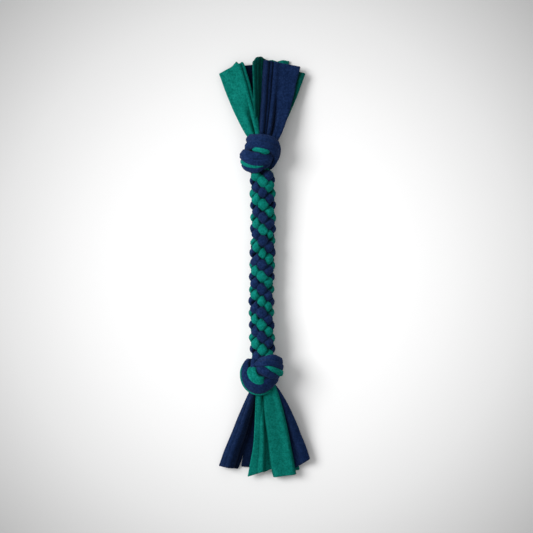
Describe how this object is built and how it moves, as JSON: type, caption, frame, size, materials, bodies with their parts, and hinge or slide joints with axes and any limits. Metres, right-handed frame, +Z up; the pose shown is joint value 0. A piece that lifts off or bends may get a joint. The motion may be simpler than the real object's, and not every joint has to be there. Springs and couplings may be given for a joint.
{
  "type": "rope dog toy",
  "caption": "Braided fleece rope tug toy for a dog, with an overhand knot and a fanned tassel of flat strip ends at each end.",
  "frame": {"origin": "on the floor below the middle of the toy's box", "axes": "+Y along the rope towards the smaller knot, +Z up from the floor, +X to the right seen from above"},
  "size_m": [0.084, 0.4, 0.0412],
  "materials": {
    "green_fleece": "matte pile",
    "navy_fleece": "matte pile"
  },
  "bodies": {
    "lower_braid": {"green_1_lower_braid": "green_fleece", "navy_1_lower_braid": "navy_fleece", "green_2_lower_braid": "green_fleece", "navy_2_lower_braid": "navy_fleece", "green_3_lower_braid": "green_fleece", "navy_3_lower_braid": "navy_fleece", "green_4_lower_braid": "green_fleece", "navy_4_lower_braid": "navy_fleece"},
    "upper_braid": {"green_1_upper_braid": "green_fleece", "navy_1_upper_braid": "navy_fleece", "green_2_upper_braid": "green_fleece", "navy_2_upper_braid": "navy_fleece", "green_3_upper_braid": "green_fleece", "navy_3_upper_braid": "navy_fleece", "green_4_upper_braid": "green_fleece", "navy_4_upper_braid": "navy_fleece"},
    "lower_knot": {"green_1_lower_knot": "green_fleece", "navy_1_lower_knot": "navy_fleece", "green_2_lower_knot": "green_fleece", "navy_2_lower_knot": "navy_fleece", "green_3_lower_knot": "green_fleece", "navy_3_lower_knot": "navy_fleece", "green_4_lower_knot": "green_fleece", "navy_4_lower_knot": "navy_fleece"},
    "upper_knot": {"green_1_upper_knot": "green_fleece", "navy_1_upper_knot": "navy_fleece", "green_2_upper_knot": "green_fleece", "navy_2_upper_knot": "navy_fleece", "green_3_upper_knot": "green_fleece", "navy_3_upper_knot": "navy_fleece", "green_4_upper_knot": "green_fleece", "navy_4_upper_knot": "navy_fleece"},
    "navy_4_lower_tail": {"navy_4_lower_tail": "navy_fleece"},
    "green_1_lower_tail": {"green_1_lower_tail": "green_fleece"},
    "green_3_lower_tail": {"green_3_lower_tail": "green_fleece"},
    "navy_1_lower_tail": {"navy_1_lower_tail": "navy_fleece"},
    "navy_3_lower_tail": {"navy_3_lower_tail": "navy_fleece"},
    "green_2_lower_tail": {"green_2_lower_tail": "green_fleece"},
    "green_4_lower_tail": {"green_4_lower_tail": "green_fleece"},
    "navy_2_lower_tail": {"navy_2_lower_tail": "navy_fleece"},
    "navy_3_upper_tail": {"navy_3_upper_tail": "navy_fleece"},
    "navy_2_upper_tail": {"navy_2_upper_tail": "navy_fleece"},
    "green_4_upper_tail": {"green_4_upper_tail": "green_fleece"},
    "green_1_upper_tail": {"green_1_upper_tail": "green_fleece"},
    "navy_4_upper_tail": {"navy_4_upper_tail": "navy_fleece"},
    "navy_1_upper_tail": {"navy_1_upper_tail": "navy_fleece"},
    "green_3_upper_tail": {"green_3_upper_tail": "green_fleece"},
    "green_2_upper_tail": {"green_2_upper_tail": "green_fleece"}
  },
  "joints": [
    {"name": "mid_fold", "type": "hinge", "parent": "lower_braid", "child": "upper_braid", "pos_m": [0, 0.0064, 0.0116], "axis": [1, 0, 0], "range_deg": [-120, 120], "deforming": ["green_1_lower_braid", "navy_1_lower_braid", "green_2_lower_braid", "navy_2_lower_braid", "green_3_lower_braid", "navy_3_lower_braid", "green_4_lower_braid", "navy_4_lower_braid", "green_1_upper_braid", "navy_1_upper_braid", "green_2_upper_braid", "navy_2_upper_braid", "green_3_upper_braid", "navy_3_upper_braid", "green_4_upper_braid", "navy_4_upper_braid"]},
    {"name": "upper_bend", "type": "hinge", "parent": "upper_braid", "child": "upper_knot", "pos_m": [0, 0.078, 0.0159], "axis": [0, 0, 1], "range_deg": [-50, 50], "deforming": ["green_1_upper_braid", "navy_1_upper_braid", "green_2_upper_braid", "navy_2_upper_braid", "green_3_upper_braid", "navy_3_upper_braid", "green_4_upper_braid", "navy_4_upper_braid"]},
    {"name": "lower_bend", "type": "hinge", "parent": "lower_braid", "child": "lower_knot", "pos_m": [0, -0.065, 0.0183], "axis": [0, 0, 1], "range_deg": [-50, 50], "deforming": ["green_1_lower_braid", "navy_1_lower_braid", "green_2_lower_braid", "navy_2_lower_braid", "green_3_lower_braid", "navy_3_lower_braid", "green_4_lower_braid", "navy_4_lower_braid"]},
    {"name": "navy_4_lower_tail_lift", "type": "hinge", "parent": "lower_knot", "child": "navy_4_lower_tail", "pos_m": [0.0052, -0.1195, 0.0226], "axis": [-1, 0, 0], "range_deg": [0, 70], "deforming": ["navy_4_lower_tail"]},
    {"name": "green_1_lower_tail_lift", "type": "hinge", "parent": "lower_knot", "child": "green_1_lower_tail", "pos_m": [0.0021, -0.1195, 0.0245], "axis": [-1, 0, 0], "range_deg": [0, 70], "deforming": ["green_1_lower_tail"]},
    {"name": "green_3_lower_tail_lift", "type": "hinge", "parent": "lower_knot", "child": "green_3_lower_tail", "pos_m": [-0.0021, -0.1195, 0.0245], "axis": [-1, 0, 0], "range_deg": [0, 70], "deforming": ["green_3_lower_tail"]},
    {"name": "navy_1_lower_tail_lift", "type": "hinge", "parent": "lower_knot", "child": "navy_1_lower_tail", "pos_m": [-0.0052, -0.1195, 0.0226], "axis": [-1, 0, 0], "range_deg": [0, 70], "deforming": ["navy_1_lower_tail"]},
    {"name": "navy_3_lower_tail_lift", "type": "hinge", "parent": "lower_knot", "child": "navy_3_lower_tail", "pos_m": [-0.0052, -0.1195, 0.0198], "axis": [-1, 0, 0], "range_deg": [-70, 0], "deforming": ["navy_3_lower_tail"]},
    {"name": "green_2_lower_tail_lift", "type": "hinge", "parent": "lower_knot", "child": "green_2_lower_tail", "pos_m": [-0.0021, -0.1195, 0.0179], "axis": [-1, 0, 0], "range_deg": [-70, 0], "deforming": ["green_2_lower_tail"]},
    {"name": "green_4_lower_tail_lift", "type": "hinge", "parent": "lower_knot", "child": "green_4_lower_tail", "pos_m": [0.0021, -0.1195, 0.0179], "axis": [-1, 0, 0], "range_deg": [-70, 0], "deforming": ["green_4_lower_tail"]},
    {"name": "navy_2_lower_tail_lift", "type": "hinge", "parent": "lower_knot", "child": "navy_2_lower_tail", "pos_m": [0.0052, -0.1195, 0.0198], "axis": [-1, 0, 0], "range_deg": [-70, 0], "deforming": ["navy_2_lower_tail"]},
    {"name": "navy_3_upper_tail_lift", "type": "hinge", "parent": "upper_knot", "child": "navy_3_upper_tail", "pos_m": [0.0045, 0.1268, 0.0194], "axis": [1, 0, 0], "range_deg": [0, 70], "deforming": ["navy_3_upper_tail"]},
    {"name": "navy_2_upper_tail_lift", "type": "hinge", "parent": "upper_knot", "child": "navy_2_upper_tail", "pos_m": [0.0019, 0.1268, 0.0211], "axis": [1, 0, 0], "range_deg": [0, 70], "deforming": ["navy_2_upper_tail"]},
    {"name": "green_4_upper_tail_lift", "type": "hinge", "parent": "upper_knot", "child": "green_4_upper_tail", "pos_m": [-0.0019, 0.1268, 0.0211], "axis": [1, 0, 0], "range_deg": [0, 70], "deforming": ["green_4_upper_tail"]},
    {"name": "green_1_upper_tail_lift", "type": "hinge", "parent": "upper_knot", "child": "green_1_upper_tail", "pos_m": [-0.0045, 0.1268, 0.0194], "axis": [1, 0, 0], "range_deg": [0, 70], "deforming": ["green_1_upper_tail"]},
    {"name": "navy_4_upper_tail_lift", "type": "hinge", "parent": "upper_knot", "child": "navy_4_upper_tail", "pos_m": [-0.0045, 0.1268, 0.0171], "axis": [1, 0, 0], "range_deg": [-70, 0], "deforming": ["navy_4_upper_tail"]},
    {"name": "navy_1_upper_tail_lift", "type": "hinge", "parent": "upper_knot", "child": "navy_1_upper_tail", "pos_m": [-0.0019, 0.1268, 0.0154], "axis": [1, 0, 0], "range_deg": [-70, 0], "deforming": ["navy_1_upper_tail"]},
    {"name": "green_3_upper_tail_lift", "type": "hinge", "parent": "upper_knot", "child": "green_3_upper_tail", "pos_m": [0.0019, 0.1268, 0.0154], "axis": [1, 0, 0], "range_deg": [-70, 0], "deforming": ["green_3_upper_tail"]},
    {"name": "green_2_upper_tail_lift", "type": "hinge", "parent": "upper_knot", "child": "green_2_upper_tail", "pos_m": [0.0045, 0.1268, 0.0171], "axis": [1, 0, 0], "range_deg": [-70, 0], "deforming": ["green_2_upper_tail"]}
  ]
}
